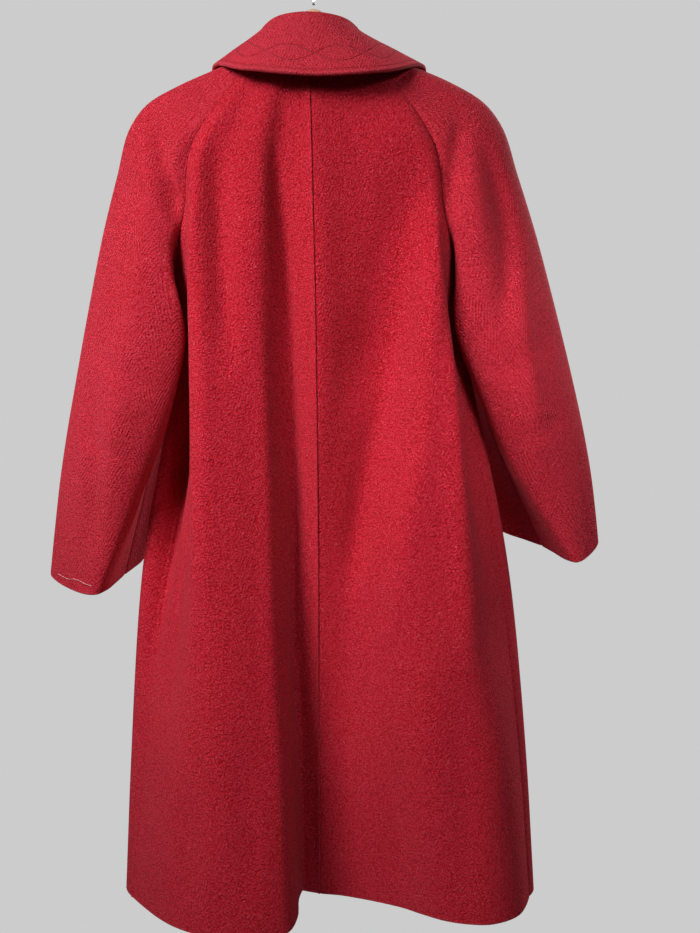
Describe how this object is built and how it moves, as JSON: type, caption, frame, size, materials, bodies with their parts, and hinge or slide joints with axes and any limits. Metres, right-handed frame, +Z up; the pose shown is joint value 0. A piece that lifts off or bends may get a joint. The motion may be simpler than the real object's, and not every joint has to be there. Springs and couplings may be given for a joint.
{
  "type": "swing coat",
  "caption": "Napped wool tweed swing coat with raglan sleeves, a large turned-down collar and a flared, folded hem, hanging on a plain hanger; worn for warmth.",
  "frame": {"origin": "where the hanger's hook rests on its rail", "axes": "+X towards the wearer's right, +Y towards the wearer's front, +Z up; the coat's back faces -Y"},
  "size_m": [0.735, 0.2443, 1.2578],
  "materials": {
    "tweed": "napped wool tweed, faint herringbone",
    "wood": "satin varnish",
    "steel": "bright wire",
    "button": "satin"
  },
  "bodies": {
    "root": {"back_left": "tweed", "back_right": "tweed", "front_left": "tweed", "front_right": "tweed", "sleeve_left_back": "tweed", "sleeve_left_front": "tweed", "sleeve_right_back": "tweed", "sleeve_right_front": "tweed", "collar": "tweed", "button_1": "button", "button_2": "button", "button_3": "button", "button_4": "button", "hanger_bar": "wood", "hanger_hook": "steel"}
  },
  "joints": []
}
